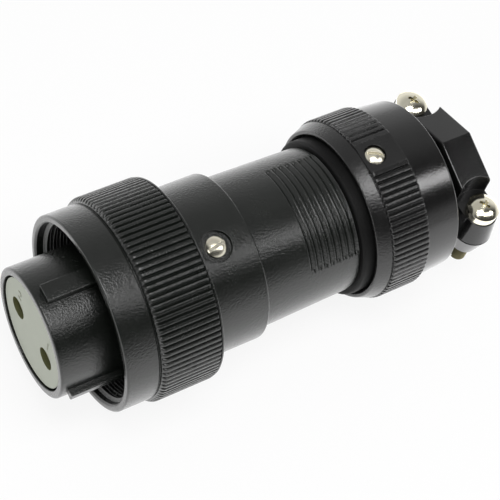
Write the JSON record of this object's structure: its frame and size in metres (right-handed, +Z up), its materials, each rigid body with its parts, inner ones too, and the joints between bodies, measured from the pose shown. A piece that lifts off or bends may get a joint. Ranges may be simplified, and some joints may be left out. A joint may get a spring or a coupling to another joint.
{
  "type": "waterproof connector",
  "caption": "Round waterproof cable plug with a keyed nose, grey contact insert, ribbed coupling nut, barrel, ribbed end bell and a screwed cable clamp.",
  "frame": {"origin": "centre of the nose's front face, where the plug enters its receptacle", "axes": "+X along the connector's axis from the nose towards the cable, +Z up through the wide key and the clamp saddle's ridge, Y along the two contacts and the two clamp screws"},
  "size_m": [0.0851, 0.036, 0.036],
  "materials": {
    "black_moulding": "satin, fine spark-eroded grain",
    "grey_insert": "matte",
    "seal_rubber": "matte",
    "contact_brass": "turned",
    "nickel_screw": "nickel plated",
    "spring_steel": "plain"
  },
  "bodies": {
    "housing": {"front_shell": "black_moulding", "insulator": "grey_insert", "contact_retainer": "grey_insert", "insert_ring": "spring_steel", "socket_contact_a": "contact_brass", "socket_contact_b": "contact_brass", "contact_spring_a": "spring_steel", "contact_spring_b": "spring_steel", "mating_gasket": "seal_rubber", "shell_o_ring": "seal_rubber", "barrel": "black_moulding", "barrel_set_screw": "nickel_screw", "end_bell": "black_moulding", "bell_gasket": "seal_rubber", "bell_set_screw": "nickel_screw", "slip_washer": "spring_steel", "cable_bushing": "seal_rubber"},
    "coupling_nut": {"coupling_nut": "black_moulding"},
    "clamp_saddle": {"clamp_saddle": "black_moulding"},
    "clamp_screw_near": {"clamp_screw_near": "nickel_screw"},
    "clamp_screw_far": {"clamp_screw_far": "nickel_screw"}
  },
  "joints": [
    {"name": "nut_turn", "type": "hinge", "parent": "housing", "child": "coupling_nut", "pos_m": [0.024, 0, 0], "axis": [1, 0, 0], "continuous": true},
    {"name": "saddle_lift", "type": "slide", "parent": "housing", "child": "clamp_saddle", "axis": [0, 0, 1], "range_m": [0, 0.004]},
    {"name": "screw_near_turn", "type": "hinge", "parent": "clamp_saddle", "child": "clamp_screw_near", "pos_m": [0.08145, -0.012, 0], "axis": [0, 0, 1], "range_deg": [0, 2881]},
    {"name": "screw_far_turn", "type": "hinge", "parent": "clamp_saddle", "child": "clamp_screw_far", "pos_m": [0.08145, 0.012, 0], "axis": [0, 0, 1], "range_deg": [0, 2881]}
  ],
  "couplings": [
    {"joint": "screw_near_turn", "follows": "saddle_lift", "rad_per_m": 12566},
    {"joint": "screw_far_turn", "follows": "saddle_lift", "rad_per_m": 12566}
  ]
}
